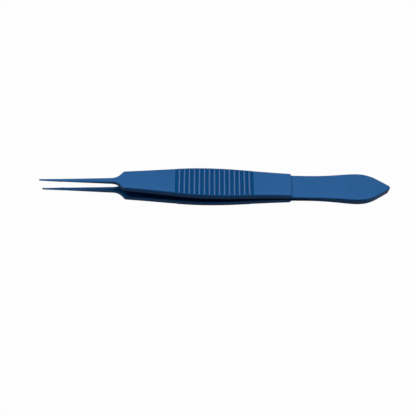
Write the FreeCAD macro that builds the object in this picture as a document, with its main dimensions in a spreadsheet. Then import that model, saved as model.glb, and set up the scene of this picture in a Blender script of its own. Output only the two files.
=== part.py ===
import FreeCAD, Part
import math
import os

import Sketcher

# Suture forceps, 105 mm long, in anodised titanium. Two like arms lie face to face, are
# welded at the tail, and spring apart towards the tips.
#
# Each arm is drawn in its own frame: X runs from the tip (0) to the tail, Y is across the
# arm, and Z is the height above the plane where the two arms meet. The lower arm is the
# same arm turned over. At the end both are laid down as the forceps rests on a table, on
# the ridges of the lower arm's grip.

# Driving dimensions, in millimetres and degrees.
SIZES = {
    # Stretches along the arm, from the tip to the tail.
    "platform_length": 6.5,
    "shank_length": 18.53,
    "front_face_length": 14.138,
    "groove_margin": 1.2,
    "rear_face_length": 11.71,
    "spring_length": 14.1,
    "weld_length": 15.9,
    # Outline seen from above: half widths, and where they lie.
    "tip_half_width": 0.21,
    "platform_half_width": 0.41,
    "root_half_width": 0.71,
    "neck_half_width": 2.74,
    "grip_half_width": 4.65,
    "waist_half_width": 3.75,
    "leaf_half_width": 4.45,
    "waist_offset": 5.2,
    "leaf_offset": 9.7,
    "shoulder_angle": 45.0,
    "shoulder_radius": 3.6,
    "neck_corner_radius": 0.5,
    "belly_front_radius": 110.0,
    "belly_rear_radius": 150.0,
    "waist_radius": 125.0,
    "leaf_radius": 11.0,
    "tail_nose_radius": 0.7,
    # Outer side: heights above the plane where the arms meet.
    "tip_height": 2.98,
    "platform_height": 2.94,
    "root_height": 3.68,
    "neck_height": 3.98,
    "serration_front_height": 3.8,
    "serration_rear_height": 3.04,
    "step_top_height": 2.41,
    "spring_height": 1.27,
    "tail_height": 1.62,
    "step_run_out_radius": 0.75,
    "spring_flat_length": 6.0,
    "tail_flat_length": 10.0,
    # Inner side: the angle between the arms at rest, and the step behind the tip's platform.
    "opening_angle": 3.7,
    "platform_step": 0.12,
    "platform_step_run": 0.4,
    # Where the shank runs into the shoulder of the grip.
    "shoulder_lead": 2.0,
    "shoulder_inset": 0.05,
    "shoulder_drop": 0.17,
    "root_depth": 1.3,
    "root_relief": 0.015,
    # Cross grooves of the grip, how far the ridges between them stand above its face, and the
    # strip as high as they are behind the last groove.
    "groove_count": 15,
    "groove_pitch": 1.488,
    "groove_width": 0.89,
    "groove_depth": 0.6,
    "ridge_rise": 0.12,
    "rear_strip": 0.5,
    # Broken edges.
    "edge_break": 0.3,
    "ridge_end_break": 0.1,
    "root_edge_radius": 0.3,
    "root_inner_radius": 0.05,
    "platform_edge_radius": 0.12,
    "tip_edge_radius": 0.07,
    "tip_nose_radius": 0.24,
    # One tooth on the upper tip closes between two teeth on the lower tip.
    "tooth_height": 0.15,
    "tooth_length": 0.4,
    "tooth_width": 0.12,
    "tooth_clearance": 0.02,
    # Guide pin, pressed into the lower arm, and its socket in the upper arm.
    "pin_radius": 0.6,
    "pin_offset": 6.5,
    "pin_reach": 1.6,
    "pin_nose": 0.2,
    "pin_seat_depth": 1.2,
    "socket_depth": 1.45,
    "socket_clearance": 0.15,
}
SHEET = "sizes"
HALF_TURN = 180.0
OVERCUT = 1.0
# Faces are told apart by how far their normals lean.
LEVEL = 0.01
STEEP = 0.7


class Size(float):
    """A length or angle that keeps the spreadsheet formula that it comes from."""

    def __new__(cls, value, formula=None):
        made = super().__new__(cls, value)
        made.formula = formula or repr(float(value))
        return made

    def __add__(self, other):
        return join(self, "+", other, float(self) + float(other))

    def __sub__(self, other):
        return join(self, "-", other, float(self) - float(other))

    def __mul__(self, other):
        return join(self, "*", other, float(self) * float(other))

    def __truediv__(self, other):
        return join(self, "/", other, float(self) / float(other))

    def __neg__(self):
        return Size(-float(self), f"(0 - {self.formula})")

    __radd__ = __add__
    __rmul__ = __mul__


def join(left, sign, right, value):
    right_formula = right.formula if isinstance(right, Size) else repr(float(right))
    return Size(value, f"({left.formula} {sign} {right_formula})")


def turned(name, angle):
    """The sine, cosine or tangent of an angle in degrees, with its formula."""
    return Size(getattr(math, name)(math.radians(angle)), f"{name}({angle.formula})")


def size(name):
    return Size(SIZES[name], f"{SHEET}.{name}")


def write_sheet(doc):
    sheet = doc.addObject("Spreadsheet::Sheet", SHEET)
    for row, (name, value) in enumerate(SIZES.items(), start=1):
        sheet.set(f"A{row}", name)
        sheet.set(f"B{row}", str(value))
        sheet.setAlias(f"B{row}", name)
    return sheet


# Places along the arm.
PLATFORM_X = size("platform_length")
NECK_X = PLATFORM_X + size("shank_length")
FACET_X = NECK_X + size("front_face_length")
FIRST_GROOVE = size("groove_margin") + size("groove_width") / 2
FACET_LENGTH = FIRST_GROOVE * 2 + size("groove_pitch") * (size("groove_count") - 1)
FACET_END_X = FACET_X + FACET_LENGTH
STEP_X = FACET_END_X + size("rear_face_length")
WELD_X = STEP_X + size("spring_length")
END_X = WELD_X + size("weld_length")
BELLY_X = FACET_X + FACET_LENGTH / 2
WAIST_X = STEP_X + size("waist_offset")
LEAF_X = END_X - size("leaf_offset")
RELIEF_X = STEP_X + size("spring_flat_length")
TAIL_FLAT_X = END_X - size("tail_flat_length")
FLEX_X = STEP_X + size("spring_length") / 2
PIN_X = NECK_X + size("pin_offset")

# The concave shoulder, and the narrow front of the grip, which lies inside the shank.
SHOULDER_RISE = size("shoulder_radius") * (turned("cos", size("shoulder_angle")) * -1 + 1)
SHOULDER_RUN = size("shoulder_radius") * turned("sin", size("shoulder_angle"))
FRONT_HALF_WIDTH = size("root_half_width") - size("shoulder_inset")
RAMP_RISE = size("neck_half_width") - FRONT_HALF_WIDTH - SHOULDER_RISE
SHOULDER_X = NECK_X - RAMP_RISE / turned("tan", size("shoulder_angle")) - SHOULDER_RUN
FRONT_X = SHOULDER_X - size("shoulder_lead")
ROOT_X = SHOULDER_X + size("root_depth")
FRONT_HEIGHT = size("root_height") - size("shoulder_drop")

# The ridges stand above the face. The slope up to them lies inside the first groove, which
# cuts it away. Behind the last groove, a strip as high as they are ends in a low step.
FACET_SLOPE = (size("serration_front_height") - size("serration_rear_height")) / FACET_LENGTH
RISE_RUN = size("groove_width") * 0.8
RISE_X = FACET_X + FIRST_GROOVE - RISE_RUN / 2
STRIP_END_X = FACET_END_X - FIRST_GROOVE + size("groove_width") / 2 + size("rear_strip")

# The inner faces open by half the angle between the arms. The grip's is straight from the
# weld; the tip's points at the middle of the spring, about which the arms flex, so the
# two tips close flat on each other.
INNER_SLOPE = turned("tan", size("opening_angle") / 2)
TOP_CLEAR = size("neck_height") + OVERCUT
FULL_WIDTH = size("grip_half_width") * 4


def inner_grip_height(x):
    return INNER_SLOPE * (WELD_X - x)


def inner_tip_height(x):
    return INNER_SLOPE * (FLEX_X - x)


def facet_height(x):
    """Height of the flat middle of the grip's face, below its ridges."""
    return size("serration_front_height") - FACET_SLOPE * (x - FACET_X)


def vector(x, y):
    return FreeCAD.Vector(float(x), float(y), 0)


def add_sketch(body, role, name, offset=None):
    """A sketch on one of the body's own origin planes, shifted along the plane's normal."""
    sketch = body.newObject("Sketcher::SketchObject", name)
    plane = next(f for f in body.Origin.OriginFeatures if f.Role == role)
    sketch.AttachmentSupport = [(plane, "")]
    sketch.MapMode = "FlatFace"
    if offset is not None:
        sketch.setExpression("AttachmentOffset.Base.z", offset.formula)
    return sketch


class Outline:
    """A closed chain of lines and arcs in a sketch, drawn from point to point."""

    def __init__(self, sketch, start):
        self.sketch = sketch
        self.first = start
        self.here = start
        self.pieces = []
        self.smooth = []

    def _add(self, geometry, begins, smooth):
        self.pieces.append((self.sketch.addGeometry(geometry, False), begins))
        self.smooth.append(smooth)
        return len(self.pieces) - 1

    def line(self, x, y, smooth=False):
        """A straight line to x, y. It is smooth if it starts tangent to the last piece."""
        there = vector(x, y)
        made = self._add(Part.LineSegment(self.here, there), 1, smooth)
        self.here = there
        return made

    def arc(self, x, y, centre, smooth=True, half_left=False):
        """The shorter arc to x, y about a centre, or half a turn to the left."""
        there, middle = vector(x, y), vector(*centre)
        radius = (self.here - middle).Length
        circle = Part.Circle(middle, FreeCAD.Vector(0, 0, 1), radius)
        left_turn = half_left or (self.here - middle).cross(there - middle).z > 0
        ends = (self.here, there) if left_turn else (there, self.here)
        angles = [math.atan2(p.y - middle.y, p.x - middle.x) for p in ends]
        made = self._add(Part.ArcOfCircle(circle, *angles), 1 if left_turn else 2, smooth)
        self.here = there
        return made

    def begin(self, number):
        return self.pieces[number]

    def end(self, number):
        piece, begins = self.pieces[number]
        return piece, 3 - begins

    def close(self):
        """Joins each piece to the next, tangent where the outline is smooth."""
        for number in range(len(self.pieces)):
            after = (number + 1) % len(self.pieces)
            kind = "Tangent" if self.smooth[after] else "Coincident"
            self.sketch.addConstraint(
                Sketcher.Constraint(kind, *self.end(number), *self.begin(after))
            )

    def bind(self, name, value, kind, *where):
        """A named dimension that follows the spreadsheet."""
        number = self.sketch.addConstraint(Sketcher.Constraint(kind, *where, float(value)))
        self.sketch.renameConstraint(number, name)
        self.sketch.setExpression(f"Constraints.{name}", value.formula)

    def place(self, name, number, x=None, y=None):
        """Sets where a piece ends, from the sketch's origin."""
        if x is not None:
            self.bind(f"{name}_x", x, "DistanceX", -1, 1, *self.end(number))
        if y is not None:
            self.bind(f"{name}_y", y, "DistanceY", -1, 1, *self.end(number))

    def radius(self, name, number, value):
        self.bind(name, value, "Radius", self.pieces[number][0])

    def level(self, number, at_end=True):
        """The arc runs along X at one of its ends, so its centre is straight above or below."""
        where = self.end(number) if at_end else self.begin(number)
        self.sketch.addConstraint(
            Sketcher.Constraint("Vertical", *where, self.pieces[number][0], 3)
        )

    def along(self, kind, *numbers):
        """Makes lines Horizontal or Vertical."""
        for number in numbers:
            self.sketch.addConstraint(Sketcher.Constraint(kind, self.pieces[number][0]))


def s_curve(start, end, radius):
    """Two arcs that join level points smoothly: the point between, and both arcs' centres.

    The first arc has the given radius, or half of both where it is None.
    """
    run, rise = end[0] - start[0], end[1] - start[1]
    angle = 2 * math.atan2(abs(rise), run)
    both = run / math.sin(angle)
    first = both / 2 if radius is None else float(radius)
    side = math.copysign(1, rise)
    centre_a = (start[0], start[1] + side * first)
    centre_b = (end[0], end[1] - side * (both - first))
    between = (start[0] + first * math.sin(angle), start[1] + side * first * (1 - math.cos(angle)))
    return between, centre_a, centre_b


def tangent_from(point, centre, radius):
    """Where the upper tangent line from a point to its right touches a circle."""
    dx, dy = centre[0] - point[0], centre[1] - point[1]
    reach = math.hypot(dx, dy)
    turn = math.atan2(dy, dx) + math.asin(radius / reach)
    return centre[0] - radius * math.sin(turn), centre[1] + radius * math.cos(turn)


def outer_tangent(centre_a, radius_a, centre_b, radius_b):
    """Where the upper tangent line of two circles touches each of them."""
    dx, dy = centre_b[0] - centre_a[0], centre_b[1] - centre_a[1]
    reach = math.hypot(dx, dy)
    normal = math.atan2(dy, dx) + math.acos((radius_a - radius_b) / reach)
    ux, uy = math.cos(normal), math.sin(normal)
    return (
        (centre_a[0] + radius_a * ux, centre_a[1] + radius_a * uy),
        (centre_b[0] + radius_b * ux, centre_b[1] + radius_b * uy),
    )


def arc_from_end(end, touch, slope_from):
    """Centre of the arc that touches a line at touch, with its other end at end."""
    along = (touch[0] - slope_from[0], touch[1] - slope_from[1])
    length = math.hypot(*along)
    normal = (-along[1] / length, along[0] / length)
    chord = (end[0] - touch[0], end[1] - touch[1])
    offset = chord[0] * normal[0] + chord[1] * normal[1]
    radius = (chord[0] ** 2 + chord[1] ** 2) / (2 * offset)
    return touch[0] + normal[0] * radius, touch[1] + normal[1] * radius


def draw_plan(sketch):
    """Half of the arm's outline from above, from the grip's front to the tail's nose."""
    front_corner, neck = (FRONT_X, FRONT_HALF_WIDTH), (NECK_X, size("neck_half_width"))
    belly, waist = (BELLY_X, size("grip_half_width")), (WAIST_X, size("waist_half_width"))
    leaf = (LEAF_X, size("leaf_half_width"))
    shoulder_centre = (SHOULDER_X, FRONT_HALF_WIDTH + size("shoulder_radius"))
    shoulder_end = (SHOULDER_X + SHOULDER_RUN, FRONT_HALF_WIDTH + SHOULDER_RISE)
    front_centre = (belly[0], belly[1] - size("belly_front_radius"))
    touch = tangent_from(neck, front_centre, size("belly_front_radius"))
    behind, rear_centre, waist_front = s_curve(belly, waist, size("belly_rear_radius"))
    before, waist_rear, leaf_front = s_curve(waist, leaf, size("waist_radius"))
    leaf_centre = (leaf[0], leaf[1] - size("leaf_radius"))
    nose = size("tail_nose_radius")
    nose_centre = (END_X - nose, 0)
    leaf_end, nose_start = outer_tangent(leaf_centre, size("leaf_radius"), nose_centre, nose)

    outline = Outline(sketch, vector(FRONT_X, 0))
    front = outline.line(*front_corner)
    lead = outline.line(SHOULDER_X, FRONT_HALF_WIDTH)
    shoulder = outline.arc(*shoulder_end, shoulder_centre)
    ramp = outline.line(*neck, smooth=True)
    outline.line(*touch)
    belly_front = outline.arc(*belly, front_centre)
    belly_rear = outline.arc(*behind, rear_centre)
    to_waist = outline.arc(*waist, waist_front)
    from_waist = outline.arc(*before, waist_rear)
    to_leaf = outline.arc(*leaf, leaf_front)
    from_leaf = outline.arc(*leaf_end, leaf_centre)
    outline.line(*nose_start, smooth=True)
    tip = outline.arc(END_X, 0, nose_centre)
    axis = outline.line(FRONT_X, 0)
    outline.close()

    outline.along("Vertical", front)
    outline.along("Horizontal", lead, axis)
    sketch.addConstraint(Sketcher.Constraint("PointOnObject", *outline.end(axis), -1))
    sketch.addConstraint(Sketcher.Constraint("PointOnObject", outline.pieces[tip][0], 3, -1))
    outline.place("front", front, *front_corner)
    outline.radius("shoulder_radius", shoulder, size("shoulder_radius"))
    outline.bind("shoulder_angle", size("shoulder_angle"), "Angle", outline.pieces[ramp][0])
    outline.place("neck", ramp, *neck)
    outline.place("belly", belly_front, *belly)
    outline.level(belly_front)
    outline.radius("belly_front_radius", belly_front, size("belly_front_radius"))
    outline.radius("belly_rear_radius", belly_rear, size("belly_rear_radius"))
    outline.place("waist", to_waist, *waist)
    outline.level(to_waist)
    outline.radius("waist_radius", from_waist, size("waist_radius"))
    outline.place("leaf", to_leaf, *leaf)
    outline.level(to_leaf)
    outline.radius("leaf_radius", from_leaf, size("leaf_radius"))
    outline.radius("nose_radius", tip, nose)
    outline.place("nose", tip, x=END_X)


def draw_outer_side(sketch):
    """What is cut away above the arm, from the grip's front over the step to the tail."""
    start_x = FRONT_X - OVERCUT
    front_top, neck = (FRONT_X, FRONT_HEIGHT), (NECK_X, size("neck_height"))
    facet = (FACET_X, size("serration_front_height"))
    facet_end = (FACET_END_X, size("serration_rear_height"))
    rise_end_x = RISE_X + RISE_RUN
    rise_start = (RISE_X, facet_height(RISE_X))
    first_ridge = (rise_end_x, facet_height(rise_end_x) + size("ridge_rise"))
    strip_end = (STRIP_END_X, facet_height(STRIP_END_X) + size("ridge_rise"))
    strip_foot = (STRIP_END_X, facet_height(STRIP_END_X))
    step_top = (STEP_X, size("step_top_height"))
    run_out = size("step_run_out_radius")
    spring, tail = size("spring_height"), size("tail_height")
    wall_end = (STEP_X, spring + run_out)
    spring_start = (STEP_X + run_out, spring)
    relief, tail_flat = (RELIEF_X, spring), (TAIL_FLAT_X, tail)
    between, relief_centre, tail_centre = s_curve(relief, tail_flat, None)

    outline = Outline(sketch, vector(start_x, TOP_CLEAR))
    drop = outline.line(start_x, FRONT_HEIGHT)
    lead = outline.line(*front_top)
    rise = outline.line(*neck)
    front = outline.arc(*facet, arc_from_end(neck, facet, facet_end), smooth=False)
    front_margin = outline.line(*rise_start, smooth=True)
    first_slope = outline.line(*first_ridge)
    ridges = outline.line(*strip_end)
    strip_step = outline.line(*strip_foot)
    rear_margin = outline.line(*facet_end)
    rear = outline.arc(*step_top, arc_from_end(step_top, facet_end, facet))
    wall = outline.line(*wall_end)
    fillet = outline.arc(*spring_start, (STEP_X + run_out, wall_end[1]))
    flat = outline.line(*relief, smooth=True)
    relief_in = outline.arc(*between, relief_centre)
    relief_out = outline.arc(*tail_flat, tail_centre)
    tail_top = outline.line(END_X + OVERCUT, tail, smooth=True)
    back = outline.line(END_X + OVERCUT, TOP_CLEAR)
    top = outline.line(start_x, TOP_CLEAR)
    outline.close()

    outline.along("Vertical", drop, strip_step, wall, back)
    outline.along("Horizontal", lead, flat, tail_top, top)
    outline.place("start", drop, x=start_x)
    outline.place("front", lead, *front_top)
    outline.place("neck", rise, *neck)
    outline.place("facet", front, *facet)
    outline.place("rise_start", front_margin, *rise_start)
    outline.place("first_ridge", first_slope, *first_ridge)
    outline.place("strip_end", ridges, *strip_end)
    outline.place("strip_foot", strip_step, y=strip_foot[1])
    outline.place("facet_end", rear_margin, *facet_end)
    outline.place("step_top", rear, *step_top)
    outline.radius("run_out", fillet, run_out)
    outline.place("relief", flat, *relief)
    outline.place("tail", relief_out, *tail_flat)
    sketch.addConstraint(
        Sketcher.Constraint("Equal", outline.pieces[relief_in][0], outline.pieces[relief_out][0])
    )
    outline.place("end", tail_top, x=END_X + OVERCUT)
    outline.place("clear", back, y=TOP_CLEAR)


def draw_inner_side(sketch):
    """What is cut away under the arm, from the grip's front to the front of the weld."""
    start_x = FRONT_X - OVERCUT
    draw_polygon(
        sketch,
        (start_x, Size(-OVERCUT)),
        (start_x, inner_grip_height(start_x)),
        (WELD_X, Size(0)),
        (WELD_X, Size(-OVERCUT)),
    )


def draw_polygon(sketch, *corners):
    """Straight sides between corners that are each set from the sketch's origin."""
    outline = Outline(sketch, vector(*corners[-1]))
    sides = [outline.line(*corner) for corner in corners]
    outline.close()
    for number, corner in zip(sides, corners):
        outline.place(f"corner_{number}", number, *corner)


def draw_section(sketch, half_width, low, high, outer_radius, inner_radius):
    """A section of the shank: a bar with rounded corners, larger on the outer side."""
    corners = (
        (1, low, inner_radius),
        (1, high, outer_radius),
        (-1, high, outer_radius),
        (-1, low, inner_radius),
    )
    outline = Outline(sketch, vector(half_width - inner_radius, low))
    arcs, sides = [], []
    for number, (side, height, radius) in enumerate(corners):
        centre_x = side * (float(half_width) - radius)
        centre_z = height + radius if height == low else height - radius
        wall_end, level_end = (side * float(half_width), centre_z), (centre_x, height)
        goal = wall_end if number % 2 == 0 else level_end
        arcs.append(outline.arc(*goal, (centre_x, centre_z)))
        after = corners[(number + 1) % len(corners)]
        if number % 2 == 0:
            after_z = after[1] + after[2] if after[1] == low else after[1] - after[2]
            sides.append(outline.line(side * float(half_width), after_z, smooth=True))
        else:
            after_x = after[0] * (float(half_width) - after[2])
            sides.append(outline.line(after_x, height, smooth=True))
    outline.close()
    outline.along("Vertical", sides[0], sides[2])
    outline.along("Horizontal", sides[1], sides[3])
    outline.place("right", sides[0], x=half_width)
    outline.place("left", sides[2], x=-half_width)
    outline.place("high", sides[1], y=high)
    outline.place("low", sides[3], y=low)
    for number, radius in zip(arcs, (inner_radius, outer_radius, outer_radius, inner_radius)):
        outline.radius(f"corner_{number}", number, radius)


def extrude(body, kind, sketch, name, length, symmetric=False, reverse=False):
    """A Pad or Pocket whose length follows the spreadsheet."""
    feature = body.newObject(f"PartDesign::{kind}", name)
    feature.Profile = sketch
    feature.Length = float(length)
    feature.setExpression("Length", length.formula)
    feature.SideType = "Symmetric" if symmetric else "One side"
    feature.Reversed = reverse
    body.Tip = feature
    body.Document.recompute()
    return feature


def edge_names(feature, is_wanted):
    """Names of the edges between two faces, picked by middle point and the two normals."""
    names = []
    for number, edge in enumerate(feature.Shape.Edges, start=1):
        middle = edge.valueAt((edge.FirstParameter + edge.LastParameter) / 2)
        faces = feature.Shape.ancestorsOfType(edge, Part.Face)
        normals = [face.normalAt(*face.Surface.parameter(middle)) for face in faces]
        if len(normals) == 2 and is_wanted(middle, *normals):
            names.append(f"Edge{number}")
    return names


def break_edges(body, kind, name, across, value, is_wanted):
    """A Fillet or Chamfer on the wanted edges of what the body is so far."""
    feature = body.Tip
    made = body.newObject(f"PartDesign::{kind}", name)
    made.Base = (feature, edge_names(feature, is_wanted))
    made.setExpression(across, value.formula)
    body.Tip = made
    body.Document.recompute()


def is_side(normal):
    """The face is upright and runs along the arm, not across it."""
    return abs(normal.z) < LEVEL and abs(normal.x) < 1 - LEVEL


def is_neck_corner(middle, first, second):
    both_upright = abs(first.z) < LEVEL and abs(second.z) < LEVEL
    return both_upright and abs(middle.x - NECK_X) < LEVEL


def is_outer_edge(middle, first, second):
    return any(is_side(a) and b.z > STEEP for a, b in ((first, second), (second, first)))


def above_face(middle):
    """How far a point stands above the flat of the grip's face: below 0 in a groove."""
    on_face = FACET_X < middle.x < FACET_END_X
    return middle.z - facet_height(middle.x) if on_face else 0


def is_face_rim(middle, first, second):
    return is_outer_edge(middle, first, second) and abs(above_face(middle)) < LEVEL


def is_ridge_end(middle, first, second):
    return is_outer_edge(middle, first, second) and above_face(middle) > LEVEL


def add_blank(body):
    """The arm without its shank: outline, outer side and inner side."""
    plan = add_sketch(body, "XY_Plane", "plan")
    draw_plan(plan)
    half = extrude(body, "Pad", plan, "half_blank", TOP_CLEAR)
    whole = body.newObject("PartDesign::Mirrored", "blank")
    whole.Originals = [half]
    plane = next(f for f in body.Origin.OriginFeatures if f.Role == "XZ_Plane")
    whole.MirrorPlane = (plane, [""])
    body.Tip = whole

    outer = add_sketch(body, "XZ_Plane", "outer_side")
    draw_outer_side(outer)
    extrude(body, "Pocket", outer, "outer_cut", FULL_WIDTH, symmetric=True)
    inner = add_sketch(body, "XZ_Plane", "inner_side")
    draw_inner_side(inner)
    extrude(body, "Pocket", inner, "inner_cut", FULL_WIDTH, symmetric=True)
    corner = size("neck_corner_radius")
    break_edges(body, "Fillet", "neck_corners", "Radius", corner, is_neck_corner)


def add_grooves(body):
    """Round-bottomed grooves across the serrated face, square to it."""
    sketch = add_sketch(body, "XZ_Plane", "groove_profile")
    radius = size("groove_width") / 2
    low = size("groove_depth") - radius
    start = vector(FACET_X, size("serration_front_height"))
    end = vector(FACET_END_X, size("serration_rear_height"))
    along = (end - start).normalize()
    out = FreeCAD.Vector(-along.y, along.x, 0)
    mouth = start + along * float(FIRST_GROOVE)
    centre = mouth - out * float(low)
    left, right = along * -float(radius), along * float(radius)
    clear = out * float(low + OVERCUT)

    face = sketch.addGeometry(Part.LineSegment(start, end), True)
    depth = sketch.addGeometry(Part.LineSegment(mouth, centre), True)
    outline = Outline(sketch, centre + left + clear)
    down = outline.line(*(centre + left)[:2])
    bottom = outline.arc(*(centre + right)[:2], centre[:2], half_left=True)
    up = outline.line(*(centre + right + clear)[:2], smooth=True)
    top = outline.line(*(centre + left + clear)[:2])
    outline.close()
    for kind, *where in (
        ("PointOnObject", depth, 1, face),
        ("Perpendicular", depth, face),
        ("Coincident", depth, 2, outline.pieces[bottom][0], 3),
        ("Parallel", outline.pieces[down][0], depth),
        ("Parallel", outline.pieces[top][0], face),
    ):
        sketch.addConstraint(Sketcher.Constraint(kind, *where))
    outline.bind("face_start_x", FACET_X, "DistanceX", -1, 1, face, 1)
    outline.bind("face_start_y", size("serration_front_height"), "DistanceY", -1, 1, face, 1)
    outline.bind("face_end_x", FACET_END_X, "DistanceX", -1, 1, face, 2)
    outline.bind("face_end_y", size("serration_rear_height"), "DistanceY", -1, 1, face, 2)
    outline.bind("first", FIRST_GROOVE, "Distance", face, 1, depth, 1)
    outline.bind("low", low, "Distance", depth, 1, depth, 2)
    outline.bind("clear", low + OVERCUT, "Distance", *outline.begin(up), *outline.end(up))
    outline.radius("groove_radius", bottom, radius)
    groove = extrude(body, "Pocket", sketch, "groove", FULL_WIDTH, symmetric=True)

    pattern = body.newObject("PartDesign::LinearPattern", "grooves")
    pattern.Originals = [groove]
    pattern.Direction = (sketch, ["Axis0"])
    pattern.Mode = "Spacing"
    pattern.setExpression("Offset", size("groove_pitch").formula)
    pattern.setExpression("Occurrences", size("groove_count").formula)
    body.Tip = pattern
    body.Document.recompute()


def break_outer_edges(body):
    """Breaks the rim of the outer side, and the ends of the ridges by less."""
    rim, ridge = size("edge_break"), size("ridge_end_break")
    break_edges(body, "Chamfer", "face_rim", "Size", rim, is_face_rim)
    break_edges(body, "Chamfer", "ridge_ends", "Size", ridge, is_ridge_end)


def add_shank(body):
    """The slender shank, with a raised platform for tying behind the tip."""
    step_x = PLATFORM_X + size("platform_step_run")
    step_low = inner_tip_height(step_x) + size("platform_step")
    sharpen = (size("root_height") - size("platform_height")) / (ROOT_X - PLATFORM_X)
    widen = (size("root_half_width") - size("platform_half_width")) / (ROOT_X - PLATFORM_X)
    step_high = size("platform_height") + sharpen * size("platform_step_run")
    step_half = size("platform_half_width") + widen * size("platform_step_run")
    tip_radius, platform_radius = size("tip_edge_radius"), size("platform_edge_radius")
    root_low = inner_grip_height(ROOT_X) + size("root_relief")
    sections = (
        (Size(0), size("tip_half_width"), inner_tip_height(Size(0)), size("tip_height"),
         tip_radius, tip_radius),
        (PLATFORM_X, size("platform_half_width"), inner_tip_height(PLATFORM_X),
         size("platform_height"), platform_radius, tip_radius),
        (step_x, step_half, step_low, step_high, platform_radius, tip_radius),
        (ROOT_X, size("root_half_width"), root_low, size("root_height"),
         size("root_edge_radius"), size("root_inner_radius")),
    )
    sketches = []
    for number, (x, *section) in enumerate(sections):
        sketches.append(add_sketch(body, "YZ_Plane", f"shank_section_{number}", offset=x))
        draw_section(sketches[-1], *section)
    loft = body.newObject("PartDesign::AdditiveLoft", "shank")
    loft.Profile = sketches[0]
    loft.Sections = sketches[1:]
    loft.Ruled = True
    body.Tip = loft
    body.Document.recompute()


def add_teeth(body, is_upper):
    """The tip's teeth, standing past the platform, and the gap that the others enter."""
    height, length = size("tooth_height"), size("tooth_length")
    clearance, width = size("tooth_clearance"), size("tooth_width")
    gap_end, floor = length + clearance, inner_tip_height(Size(0)) + height + clearance
    front, back = inner_tip_height(Size(0)) - height, inner_tip_height(length)
    tooth = ((Size(0), floor), (Size(0), front), (length / 3, front), (length, back),
             (length, floor))
    gap = ((Size(-OVERCUT), floor), (Size(-OVERCUT), front - OVERCUT),
           (gap_end, front - OVERCUT), (gap_end, floor))
    both_teeth = size("tip_half_width") * 2
    steps = [
        ("Pocket", "tooth_gap", gap, FULL_WIDTH),
        ("Pad", "tooth", tooth, width),
    ]
    if not is_upper:
        steps = [
            ("Pad", "teeth", tooth, both_teeth),
            ("Pocket", "tooth_slot", gap, width + clearance * 2),
        ]
    for kind, name, corners, across in steps:
        sketch = add_sketch(body, "XZ_Plane", f"{name}_profile")
        draw_polygon(sketch, *corners)
        extrude(body, kind, sketch, name, across, symmetric=True)


def round_nose(body):
    """Rounds the end of the tip as seen from above."""
    radius = size("tip_nose_radius")
    sketch = add_sketch(body, "XY_Plane", "nose_outline")
    outline = Outline(sketch, vector(radius, -radius))
    first = outline.arc(0, 0, (radius, 0), smooth=False)
    second = outline.arc(radius, radius, (radius, 0))
    side = outline.line(radius, radius + OVERCUT)
    far = outline.line(-OVERCUT, radius + OVERCUT)
    back = outline.line(-OVERCUT, -radius - OVERCUT)
    near = outline.line(radius, -radius - OVERCUT)
    last = outline.line(radius, -radius)
    outline.close()
    outline.along("Vertical", side, back, last)
    outline.along("Horizontal", far, near)
    sketch.addConstraint(Sketcher.Constraint("Coincident", *outline.end(first), -1, 1))
    sketch.addConstraint(Sketcher.Constraint("PointOnObject", outline.pieces[first][0], 3, -1))
    sketch.addConstraint(
        Sketcher.Constraint("Equal", outline.pieces[first][0], outline.pieces[second][0])
    )
    outline.place("near_end", last, radius, -radius)
    outline.place("far_end", second, x=radius)
    outline.place("far_corner", far, Size(-OVERCUT), radius + OVERCUT)
    outline.place("near_corner", near, y=-radius - OVERCUT)
    extrude(body, "Pocket", sketch, "nose", TOP_CLEAR, reverse=True)


def add_round(body, kind, name, radius, start, length):
    """A round Pad or Pocket upright at the guide pin's place, upwards from a height."""
    sketch = add_sketch(body, "XY_Plane", f"{name}_circle", offset=start)
    centre = vector(PIN_X, 0)
    circle = Part.Circle(centre, FreeCAD.Vector(0, 0, 1), float(radius))
    number = sketch.addGeometry(circle, False)
    sketch.addConstraint(Sketcher.Constraint("PointOnObject", number, 3, -1))
    for label, value, kind_of, *where in (
        ("place_x", PIN_X, "DistanceX", -1, 1, number, 3),
        ("round_radius", radius, "Radius", number),
    ):
        made = sketch.addConstraint(Sketcher.Constraint(kind_of, *where, float(value)))
        sketch.renameConstraint(made, label)
        sketch.setExpression(f"Constraints.{label}", value.formula)
    return extrude(body, kind, sketch, name, length, reverse=kind == "Pocket")


def build_arm(doc, name, is_upper):
    body = doc.addObject("PartDesign::Body", name)
    add_blank(body)
    add_grooves(body)
    break_outer_edges(body)
    add_shank(body)
    add_teeth(body, is_upper)
    round_nose(body)
    inner = inner_grip_height(PIN_X)
    if is_upper:
        radius = size("pin_radius") + size("socket_clearance")
        add_round(body, "Pocket", "pin_socket", radius, Size(0), inner + size("socket_depth"))
    else:
        radius, depth = size("pin_radius"), inner + size("pin_seat_depth")
        add_round(body, "Pocket", "pin_seat", radius, Size(0), depth)
    return body


def build_pin(doc):
    """The guide pin, drawn in the frame of the arm that it is pressed into."""
    body = doc.addObject("PartDesign::Body", "guide_pin")
    start = inner_grip_height(PIN_X) - size("pin_reach")
    length = size("pin_reach") + size("pin_seat_depth")
    pad = add_round(body, "Pad", "pin", size("pin_radius"), start, length)
    low = pad.Shape.BoundBox.ZMin + LEVEL
    break_edges(
        body, "Chamfer", "pin_nose", "Size", size("pin_nose"), lambda middle, *_: middle.z < low
    )
    return body


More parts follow.
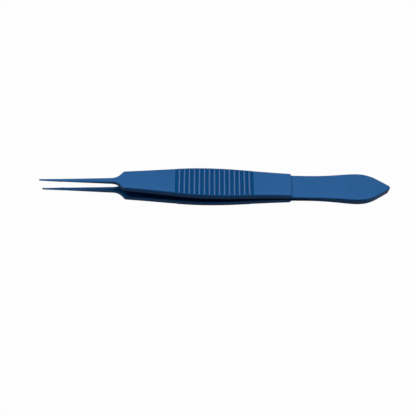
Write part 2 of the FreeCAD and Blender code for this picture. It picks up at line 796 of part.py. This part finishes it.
def lay_down(upper, lower, pin):
    """Turns the lower arm over and lays both on its ridges, centred on the origin."""
    x_axis, y_axis = FreeCAD.Vector(1, 0, 0), FreeCAD.Vector(0, 1, 0)
    tilt = math.degrees(math.atan(FACET_SLOPE))
    turn = FreeCAD.Rotation(y_axis, tilt)
    over = FreeCAD.Placement(FreeCAD.Vector(), FreeCAD.Rotation(x_axis, HALF_TURN))
    crest = facet_height(FACET_X) + size("ridge_rise")
    ridges = turn.multVec(FreeCAD.Vector(FACET_X, 0, -crest))
    rest = FreeCAD.Placement(FreeCAD.Vector(0, 0, -ridges.z), turn)
    upper.Placement = rest
    lower.Placement = rest.multiply(over)
    box = upper.Shape.optimalBoundingBox()
    box.add(lower.Shape.optimalBoundingBox())
    rest.Base.x = -box.Center.x
    upper.Placement = rest
    lower.Placement = rest.multiply(over)
    pin.Placement = lower.Placement


def main():
    doc = FreeCAD.newDocument("suture_forceps")
    write_sheet(doc)
    doc.recompute()
    upper = build_arm(doc, "upper_arm", is_upper=True)
    lower = build_arm(doc, "lower_arm", is_upper=False)
    pin = build_pin(doc)
    lay_down(upper, lower, pin)
    doc.recompute()

    for obj in doc.Objects:
        if "Invalid" in obj.State or "Error" in obj.State:
            raise RuntimeError(f"{obj.Name}: {obj.State}")
    os.makedirs("parts", exist_ok=True)
    for body in (upper, lower, pin):
        if body.Shape.isNull() or not body.Shape.isValid() or len(body.Shape.Solids) != 1:
            raise RuntimeError(f"{body.Label}: the shape is not one valid solid")
        body.Shape.exportStep(f"parts/{body.Label}.step")


main()
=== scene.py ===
import math

import bmesh
import bpy
from mathutils import Matrix, Vector
from mathutils.bvhtree import BVHTree


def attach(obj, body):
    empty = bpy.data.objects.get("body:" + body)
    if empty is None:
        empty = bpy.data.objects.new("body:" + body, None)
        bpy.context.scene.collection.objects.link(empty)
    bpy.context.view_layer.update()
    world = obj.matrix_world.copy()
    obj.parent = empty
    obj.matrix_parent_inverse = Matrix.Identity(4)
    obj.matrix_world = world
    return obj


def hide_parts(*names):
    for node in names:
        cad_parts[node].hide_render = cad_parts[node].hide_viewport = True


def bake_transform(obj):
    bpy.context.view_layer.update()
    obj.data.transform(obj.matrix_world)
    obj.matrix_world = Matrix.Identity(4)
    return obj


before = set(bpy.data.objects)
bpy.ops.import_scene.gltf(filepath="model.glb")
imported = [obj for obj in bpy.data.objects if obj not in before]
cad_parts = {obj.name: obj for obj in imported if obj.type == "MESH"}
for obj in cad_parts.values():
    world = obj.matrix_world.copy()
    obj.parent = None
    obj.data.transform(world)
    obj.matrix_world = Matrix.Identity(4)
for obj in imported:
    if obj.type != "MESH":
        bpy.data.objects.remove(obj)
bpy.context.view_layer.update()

MM = 0.001

# The arms' own frame has X from the tips and Z out from the plane between the two arms. At
# rest it is turned about Y until the ridges of the lower arm lie flat.
REST_TILT = math.radians(1.8046)
TIP_X = -52.4483 * MM
MIDDLE_Z = 5.1515 * MM

# Places along an arm, in its own frame: the cut between the shank and the shoulder, the neck's
# corner, the guide pin, the step behind the grip, the front of the weld and the tail's end.
SHANK_END = 21.6 * MM
NECK = 25.03 * MM
PIN = 31.53 * MM
STEP = 75.0 * MM
WELD = 89.1 * MM
TAIL_END = 105.0 * MM

# Grooves across the grip, and the ridges between them, which stand above its plain face. The
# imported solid's plain face is read at two places, clear of its grooves and ridges.
GROOVES = 16
FIRST_GROOVE = 40.813 * MM
GROOVE_PITCH = 1.488 * MM
GROOVE_HALF_WIDTH = 0.48 * MM
GROOVE_DEPTH = 0.48 * MM
RIDGE_RISE = 0.12 * MM
RIDGE_EDGE = 0.06 * MM
LAST_GROOVE = FIRST_GROOVE + (GROOVES - 1) * GROOVE_PITCH
GRIP_PLAIN = (39.6 * MM, 63.0 * MM)

# Rounding of the outer rim, which grows behind the neck, of the step's top edge and foot, and
# of the tail's end.
SHOULDER_ROUND = 0.3 * MM
GRIP_ROUND = 0.55 * MM
ROUND_GROWTH = 7 * MM
TAIL_ROUND = 0.4 * MM
STEP_ROUND = 0.08 * MM
RUN_OUT = 0.75 * MM
NOSE = 1.0 * MM

# Spacing of the sections along the arm, and the room kept round the neck, behind the last
# groove and in front of the step.
SHOULDER_SPACING = 0.2 * MM
NECK_SPACING = 0.08 * MM
FRONT_SPACING = 0.7 * MM
REAR_SPACING = 0.9 * MM
TAIL_SPACING = 0.8 * MM
NECK_ROOM = 0.5 * MM
REAR_ROOM = 0.3 * MM
STEP_ROOM = 0.01 * MM

# Points of a section: shares of the flat top's width, steps round the rim, and the most that
# the rim takes of the section's height and width.
TOP_SHARES = (0.35, 0.7)
RIM_STEPS = 9
RIM_DEPTH = 0.8 * MM
RIM_DEPTH_SHARE = 0.8
RIM_WIDTH_SHARE = 0.7

# Points of a section, counted from the middle of its top, over which painted shade sets in on
# the sides.
PAINTED_SIDE_SHADE_START = 5
PAINTED_SIDE_SHADE_SPAN = 5

# How a packed arm is measured. A ray starts well outside, or just past the plane between the
# arms. The side is met at a share of the top's height, and the half width is read at a share
# of the thickness. The inner face is read beside the pin's socket, or at a share of the width.
OUTSIDE = 20 * MM
PAST_MIDDLE = 1.0 * MM
SIDE_HEIGHT_SHARE = 0.8
WIDTH_HEIGHT_SHARE = 0.25
BESIDE_SOCKET = 1.5 * MM
BESIDE_SHARE = 0.6

SOCKET_RADIUS = 0.75 * MM
SOCKET_SIDES = 48
SHARP_ANGLE = math.radians(24)
MERGE = 1e-6


# Shape of the arms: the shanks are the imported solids' own, and the rest is drawn section by
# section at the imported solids' widths and heights, with a round rim and finer ridges.

class Arm:
    """A packed arm, measured in the arms' own frame."""

    def __init__(self, node, side):
        self.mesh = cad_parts[node].data
        turned = Matrix.Translation((TIP_X, 0, MIDDLE_Z)) @ Matrix.Rotation(REST_TILT, 4, "Y")
        self.place = turned @ Matrix.Diagonal((1, 1, side, 1))
        back = self.place.inverted()
        corners = [back @ vertex.co for vertex in self.mesh.vertices]
        faces = [polygon.vertices[:] for polygon in self.mesh.polygons]
        self.tree = BVHTree.FromPolygons(corners, faces)
        front, rear = (self.top(x) for x in GRIP_PLAIN)
        self.slope = (rear - front) / (GRIP_PLAIN[1] - GRIP_PLAIN[0])
        self.front = front

    def hit(self, start, way):
        return self.tree.ray_cast(Vector(start), Vector(way))[0]

    def top(self, x):
        return self.hit((x, 0, OUTSIDE), (0, 0, -1)).z

    def inner(self, x):
        """Height of the inner face, read beside the pin's socket."""
        if x > WELD:
            return 0
        side = self.hit((x, OUTSIDE, SIDE_HEIGHT_SHARE * self.top(x)), (0, -1, 0)).y
        return self.hit((x, min(BESIDE_SOCKET, BESIDE_SHARE * side), -PAST_MIDDLE), (0, 0, 1)).z

    def half_width(self, x):
        low = self.inner(x)
        height = low + WIDTH_HEIGHT_SHARE * (self.top(x) - low)
        return self.hit((x, OUTSIDE, height), (0, -1, 0)).y

    def face(self, x):
        """Height of the plain face, carried on straight through the grooves."""
        if GRIP_PLAIN[0] < x < GRIP_PLAIN[1]:
            return self.front + self.slope * (x - GRIP_PLAIN[0])
        return self.top(x)


def spread(start, end, step):
    """Places from start to end, about a step apart, without the end."""
    count = max(1, round((end - start) / step))
    return [start + (end - start) * n / count for n in range(count)]


def turns(first, step, count):
    """Angles in radians, from a first one and a step in degrees."""
    return [math.radians(first + step * n) for n in range(count)]


def groove_half():
    """Half a groove, from its edge to its centre, as distance from the centre and depth."""
    edge = GROOVE_HALF_WIDTH + RIDGE_EDGE
    painted_shade_amount = GROOVE_DEPTH - RIDGE_EDGE
    lip = [
        (edge - RIDGE_EDGE * math.sin(turn), RIDGE_EDGE * (1 - math.cos(turn)))
        for turn in turns(0, 30, 4)
    ]
    bowl = [
        (GROOVE_HALF_WIDTH * math.cos(turn), RIDGE_EDGE + painted_shade_amount * math.sin(turn))
        for turn in turns(15, 15, 6)
    ]
    return lip + bowl


def plain_stations(places):
    return [(x, 0, 0) for x in places]


def groove_stations():
    """Place, rise of the ridges and depth of the groove, from the first groove to the last."""
    half = groove_half()
    stations = []
    for number in range(GROOVES):
        centre = FIRST_GROOVE + number * GROOVE_PITCH
        front_rise = RIDGE_RISE if number > 0 else 0
        rear_rise = RIDGE_RISE if number < GROOVES - 1 else 0
        for rise, sign, points in ((front_rise, -1, half), (rear_rise, 1, half[-2::-1])):
            share = (GROOVE_DEPTH - RIDGE_RISE + rise) / GROOVE_DEPTH
            stations += [(centre + sign * away, rise, depth * share) for away, depth in points]
    return stations


def step_stations():
    """The step's top edge, rounded down towards its wall."""
    stations = []
    for turn in turns(0, 22.5, 5):
        x = STEP - STEP_ROUND * (1 - math.sin(turn)) - STEP_ROOM
        stations.append((x, 0, STEP_ROUND * (1 - math.cos(turn))))
    return stations


def all_stations():
    """Place, rise and depth of every section, from the shoulder to the tail's end."""
    edge = GROOVE_HALF_WIDTH + RIDGE_EDGE
    front = spread(SHANK_END, NECK - NECK_ROOM, SHOULDER_SPACING)
    front += spread(NECK - NECK_ROOM, NECK + NECK_ROOM, NECK_SPACING)
    front += spread(NECK + NECK_ROOM, FIRST_GROOVE - edge, FRONT_SPACING)
    rear = spread(LAST_GROOVE + edge + REAR_ROOM, STEP - STEP_ROUND, REAR_SPACING)
    run_out = [STEP + RUN_OUT * (1 - math.cos(turn)) for turn in turns(6, 12, 8)]
    tail = spread(STEP + RUN_OUT, TAIL_END - NOSE, TAIL_SPACING)
    nose = [TAIL_END - NOSE * (1 - math.sin(turn)) for turn in turns(0, 12, 8)]
    grip = plain_stations(front) + groove_stations() + plain_stations(rear)
    return grip + step_stations() + plain_stations(run_out + tail + nose)


def rim_radius(x):
    if x > STEP:
        return TAIL_ROUND
    share = min(1, max(0, (x - NECK) / ROUND_GROWTH))
    return SHOULDER_ROUND + (GRIP_ROUND - SHOULDER_ROUND) * share * share * (3 - 2 * share)


def section(arm, x, rise, depth):
    """The arm's closed outline at a place along it, with a round rim cut off at a depth."""
    half, low, crest = arm.half_width(x), arm.inner(x), arm.face(x) + rise
    radius = min(rim_radius(x), RIM_WIDTH_SHARE * half)
    deepest = min(RIM_DEPTH, RIM_DEPTH_SHARE * (crest - low))
    rim = []
    for number in range(RIM_STEPS + 1):
        down = depth + (deepest - depth) * (number / RIM_STEPS) ** 2
        left = max(0, radius - down)
        rim.append((half - radius + math.sqrt(radius ** 2 - left ** 2), crest - down))
    top_half = rim[0][0]
    flat = [(top_half * share, crest - depth) for share in TOP_SHARES]
    right = flat + rim + [(half, low)]
    ring = [(0, crest - depth)] + right + [(0, low)] + [(-y, z) for y, z in reversed(right)]
    return [Vector((x, y, z)) for y, z in ring]


def wear_sheen_and_shade_of(rise, depth, number):
    """Mask of wear and painted light: 1 on a crest, partly rubbed and partly a painted sheen, 0
    on a plain face, -1 in a groove or on a side, where shade is painted.

    The number counts the section's points from the middle of its top.
    """
    flat = 1 if rise > 0 else 0
    # Grooves and sides take -1, the mask's value for painted shade.
    if depth > RIDGE_EDGE:
        flat = -1
    side = min(1, max(0, (number - PAINTED_SIDE_SHADE_START) / PAINTED_SIDE_SHADE_SPAN))
    return flat - (flat + 1) * side


def loft(shape, arm):
    """The arm's skin from the shoulder to the tail's end."""
    # Each point keeps the mask: wear and a painted sheen on the crests, painted shade in the
    # grooves and on the sides.
    wear_sheen_and_shade_layer = shape.verts.layers.float.new("wear_sheen_and_shade")
    rings = []
    for station in all_stations():
        ring = [shape.verts.new(arm.place @ point) for point in section(arm, *station)]
        for number, vertex in enumerate(ring):
            vertex[wear_sheen_and_shade_layer] = wear_sheen_and_shade_of(*station[1:], min(number, len(ring) - number))
        rings.append(ring)
    count = len(rings[0])
    for first, second in zip(rings, rings[1:]):
        for number in range(count):
            after = (number + 1) % count
            shape.faces.new((first[number], first[after], second[after], second[number]))
    shape.faces.new(rings[0])
    shape.faces.new(rings[-1])


def packed_shank(arm):
    """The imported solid's mesh in front of the shoulder, closed where it is cut."""
    shape = bmesh.new()
    shape.from_mesh(arm.mesh)
    bmesh.ops.remove_doubles(shape, verts=shape.verts, dist=MERGE)
    cut = arm.place @ Vector((SHANK_END, 0, 0))
    along = (arm.place.to_3x3() @ Vector((1, 0, 0))).normalized()
    done = bmesh.ops.bisect_plane(
        shape, geom=shape.verts[:] + shape.edges[:] + shape.faces[:], dist=MERGE,
        plane_co=cut, plane_no=along, clear_outer=True,
    )
    edges = [part for part in done["geom_cut"] if isinstance(part, bmesh.types.BMEdge)]
    bmesh.ops.holes_fill(shape, edges=edges)
    return shape


def make_arm(name, node, side):
    """A visible arm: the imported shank, with the drawn grip and tail behind it."""
    arm = Arm(node, side)
    shape = packed_shank(arm)
    skin = bmesh.new()
    loft(skin, arm)
    bmesh.ops.recalc_face_normals(skin, faces=skin.faces)
    grip = bpy.data.meshes.new("grip")
    skin.to_mesh(grip)
    skin.free()
    shape.from_mesh(grip)
    bpy.data.meshes.remove(grip)
    mesh = bpy.data.meshes.new(name)
    shape.to_mesh(mesh)
    shape.free()
    piece = bpy.data.objects.new(name, mesh)
    bpy.context.scene.collection.objects.link(piece)
    if side > 0:
        bore_socket(piece, arm)
    piece.data.shade_smooth()
    piece.data.set_sharp_from_angle(angle=SHARP_ANGLE)
    weighted = piece.modifiers.new("face_normals", "WEIGHTED_NORMAL")
    weighted.keep_sharp = True
    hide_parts(node)
    return piece


def bore_socket(piece, arm):
    """Cuts the guide pin's socket into the inner face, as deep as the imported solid's."""
    floor = arm.hit((PIN, 0, -PAST_MIDDLE), (0, 0, 1)).z
    cutter_mesh = bmesh.new()
    middle = arm.place @ Matrix.Translation((PIN, 0, floor / 2))
    bmesh.ops.create_cone(
        cutter_mesh, cap_ends=True, segments=SOCKET_SIDES, radius1=SOCKET_RADIUS,
        radius2=SOCKET_RADIUS, depth=floor, matrix=middle,
    )
    mesh = bpy.data.meshes.new("socket_cutter")
    cutter_mesh.to_mesh(mesh)
    cutter_mesh.free()
    cutter = bpy.data.objects.new("socket_cutter", mesh)
    bpy.context.scene.collection.objects.link(cutter)
    bore = piece.modifiers.new("socket", "BOOLEAN")
    bore.operation = "DIFFERENCE"
    bore.solver = "EXACT"
    bore.object = cutter
    evaluated = piece.evaluated_get(bpy.context.evaluated_depsgraph_get())
    bored = bpy.data.meshes.new_from_object(evaluated)
    piece.modifiers.remove(bore)
    piece.data = bored
    bpy.data.objects.remove(cutter)
    bpy.data.meshes.remove(mesh)


# Materials.

ROUGHNESS_SPREAD = 0.06
TABLE_GREY = (0.10, 0.10, 0.10, 1)
TABLE_WHITE_SHARE = 0.985


def add_node(tree, kind, **settings):
    node = tree.nodes.new(kind)
    for name, value in settings.items():
        setattr(node, name, value)
    return node


def anodised_titanium(name, colour, deep_colour, crest_wear_and_sheen_colour, painted_shade_colour, roughness):
    """Satin blue anodising: a fine blasted grain, and a slow drift of the oxide's colour.

    It is paler on the crests of the ridges, partly rubbed and partly a painted sheen, and
    darker in the grooves and on the sides, where shade is painted.
    """
    material = bpy.data.materials.new(name)
    material.use_nodes = True
    tree = material.node_tree
    shader = tree.nodes["Principled BSDF"]
    shader.inputs["Metallic"].default_value = 0.12
    shader.inputs["Specular IOR Level"].default_value = 0.01
    place = add_node(tree, "ShaderNodeTexCoord")

    drift = add_node(tree, "ShaderNodeTexNoise")
    drift.inputs["Scale"].default_value = 90
    drift.inputs["Detail"].default_value = 3
    tree.links.new(place.outputs["Object"], drift.inputs["Vector"])
    shades = add_node(tree, "ShaderNodeValToRGB")
    shades.color_ramp.elements[0].position = 0.3
    shades.color_ramp.elements[0].color = (*deep_colour, 1)
    shades.color_ramp.elements[1].position = 0.7
    shades.color_ramp.elements[1].color = (*colour, 1)
    tree.links.new(drift.outputs["Fac"], shades.inputs["Fac"])
    wear_sheen_and_shade = add_node(tree, "ShaderNodeAttribute", attribute_name="wear_sheen_and_shade")
    # Crests are made paler where the mask is above 0: partly rubbed wear, partly a painted
    # sheen.
    wear_and_sheen_mix = add_node(tree, "ShaderNodeMix", data_type="RGBA")
    tree.links.new(wear_sheen_and_shade.outputs["Fac"], wear_and_sheen_mix.inputs["Factor"])
    tree.links.new(shades.outputs["Color"], wear_and_sheen_mix.inputs["A"])
    wear_and_sheen_mix.inputs["B"].default_value = (*crest_wear_and_sheen_colour, 1)
    # Painted shade: grooves and sides are darkened towards the shade colour where the mask is
    # below 0.
    painted_shade_amount = add_node(tree, "ShaderNodeMath", operation="MULTIPLY", use_clamp=True)
    painted_shade_amount.inputs[1].default_value = -1
    tree.links.new(wear_sheen_and_shade.outputs["Fac"], painted_shade_amount.inputs[0])
    painted_shade_mix = add_node(tree, "ShaderNodeMix", data_type="RGBA")
    tree.links.new(painted_shade_amount.outputs[0], painted_shade_mix.inputs["Factor"])
    tree.links.new(wear_and_sheen_mix.outputs["Result"], painted_shade_mix.inputs["A"])
    painted_shade_mix.inputs["B"].default_value = (*painted_shade_colour, 1)
    tree.links.new(painted_shade_mix.outputs["Result"], shader.inputs["Base Color"])

    grain = add_node(tree, "ShaderNodeTexNoise")
    grain.inputs["Scale"].default_value = 9000
    grain.inputs["Detail"].default_value = 2
    tree.links.new(place.outputs["Object"], grain.inputs["Vector"])
    satin = add_node(tree, "ShaderNodeMapRange")
    satin.inputs["To Min"].default_value = roughness - ROUGHNESS_SPREAD
    satin.inputs["To Max"].default_value = roughness + ROUGHNESS_SPREAD
    tree.links.new(grain.outputs["Fac"], satin.inputs["Value"])
    tree.links.new(satin.outputs["Result"], shader.inputs["Roughness"])
    blasting = add_node(tree, "ShaderNodeBump")
    blasting.inputs["Strength"].default_value = 0.15
    blasting.inputs["Distance"].default_value = 0.00001
    tree.links.new(grain.outputs["Fac"], blasting.inputs["Height"])
    tree.links.new(blasting.outputs["Normal"], shader.inputs["Normal"])
    return material


titanium = anodised_titanium(
    "blue_anodised_titanium",
    colour=(0.025, 0.106, 0.276),
    deep_colour=(0.021, 0.096, 0.254),
    # Paler crests: partly wear, partly a painted sheen.
    crest_wear_and_sheen_colour=(0.056, 0.134, 0.300),
    # Painted shade in the grooves and on the sides.
    painted_shade_colour=(0.003, 0.060, 0.186),
    roughness=0.42,
)

upper_blade = make_arm("upper_blade", "upper_arm", 1)
lower_blade = make_arm("lower_blade", "lower_arm", -1)
for blade in (upper_blade, lower_blade):
    blade.data.materials.clear()
    blade.data.materials.append(titanium)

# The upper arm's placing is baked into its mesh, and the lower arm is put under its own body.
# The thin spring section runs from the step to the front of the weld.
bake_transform(upper_blade)
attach(lower_blade, "lower")
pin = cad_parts["guide_pin"]
pin.data.materials.clear()
pin.data.materials.append(titanium)


# Floor, light and camera.

def seen_directly(tree):
    """1 for rays that show the background to the camera or in a reflection, else 0."""
    rays = add_node(tree, "ShaderNodeLightPath")
    seen = add_node(tree, "ShaderNodeMath", operation="MAXIMUM")
    tree.links.new(rays.outputs["Is Camera Ray"], seen.inputs[0])
    tree.links.new(rays.outputs["Is Glossy Ray"], seen.inputs[1])
    through = add_node(tree, "ShaderNodeMath", operation="MAXIMUM")
    tree.links.new(seen.outputs[0], through.inputs[0])
    tree.links.new(rays.outputs["Is Transmission Ray"], through.inputs[1])
    return through.outputs[0]


def make_world():
    """Faint even light that the camera and reflections see as white."""
    world = bpy.data.worlds.new("studio")
    world.use_nodes = True
    tree = world.node_tree
    faint = tree.nodes["Background"]
    faint.inputs["Color"].default_value = (0.9, 0.95, 1, 1)
    faint.inputs["Strength"].default_value = 0.06
    white = add_node(tree, "ShaderNodeBackground")
    white.inputs["Color"].default_value = (1, 1, 1, 1)
    mix = add_node(tree, "ShaderNodeMixShader")
    tree.links.new(seen_directly(tree), mix.inputs["Fac"])
    tree.links.new(faint.outputs[0], mix.inputs[1])
    tree.links.new(white.outputs[0], mix.inputs[2])
    tree.links.new(mix.outputs[0], tree.nodes["World Output"].inputs["Surface"])
    bpy.context.scene.world = world


def make_floor():
    """A grey table that the camera sees as all but white, with a faint shadow left."""
    floor_mesh = bmesh.new()
    bmesh.ops.create_grid(floor_mesh, x_segments=1, y_segments=1, size=1.5)
    mesh = bpy.data.meshes.new("table")
    floor_mesh.to_mesh(mesh)
    floor_mesh.free()
    table = bpy.data.objects.new("table", mesh)
    bpy.context.scene.collection.objects.link(table)

    material = bpy.data.materials.new("white_table")
    material.use_nodes = True
    tree = material.node_tree
    paint = tree.nodes["Principled BSDF"]
    paint.inputs["Base Color"].default_value = TABLE_GREY
    paint.inputs["Roughness"].default_value = 0.9
    white = add_node(tree, "ShaderNodeEmission")
    share = add_node(tree, "ShaderNodeMath", operation="MULTIPLY")
    tree.links.new(seen_directly(tree), share.inputs[0])
    share.inputs[1].default_value = TABLE_WHITE_SHARE
    mix = add_node(tree, "ShaderNodeMixShader")
    tree.links.new(share.outputs[0], mix.inputs["Fac"])
    tree.links.new(paint.outputs[0], mix.inputs[1])
    tree.links.new(white.outputs[0], mix.inputs[2])
    tree.links.new(mix.outputs[0], tree.nodes["Material Output"].inputs["Surface"])
    mesh.materials.append(material)


def soft_box(name, place, width, depth, power):
    """A long soft light that faces the forceps."""
    lamp = bpy.data.lights.new(name, "AREA")
    lamp.shape = "RECTANGLE"
    lamp.size = width
    lamp.size_y = depth
    lamp.energy = power
    light = bpy.data.objects.new(name, lamp)
    light.location = place
    light.rotation_euler = (-Vector(place)).to_track_quat("-Z", "Y").to_euler()
    bpy.context.scene.collection.objects.link(light)


make_floor()
soft_box("overhead_light", place=(0, 0.03, 0.60), width=0.7, depth=0.2, power=4.0)

make_world()
bpy.context.scene.view_settings.view_transform = "Standard"

camera_data = bpy.data.cameras.new("camera")
camera_data.lens = 62.69
camera_data.sensor_width = 36
camera = bpy.data.objects.new("camera", camera_data)
camera.location = (-0.001148, -0.103141, 0.196010)
camera.rotation_euler = (math.radians(26.524), math.radians(0.263), math.radians(0.167))
bpy.context.scene.collection.objects.link(camera)
bpy.context.scene.camera = camera
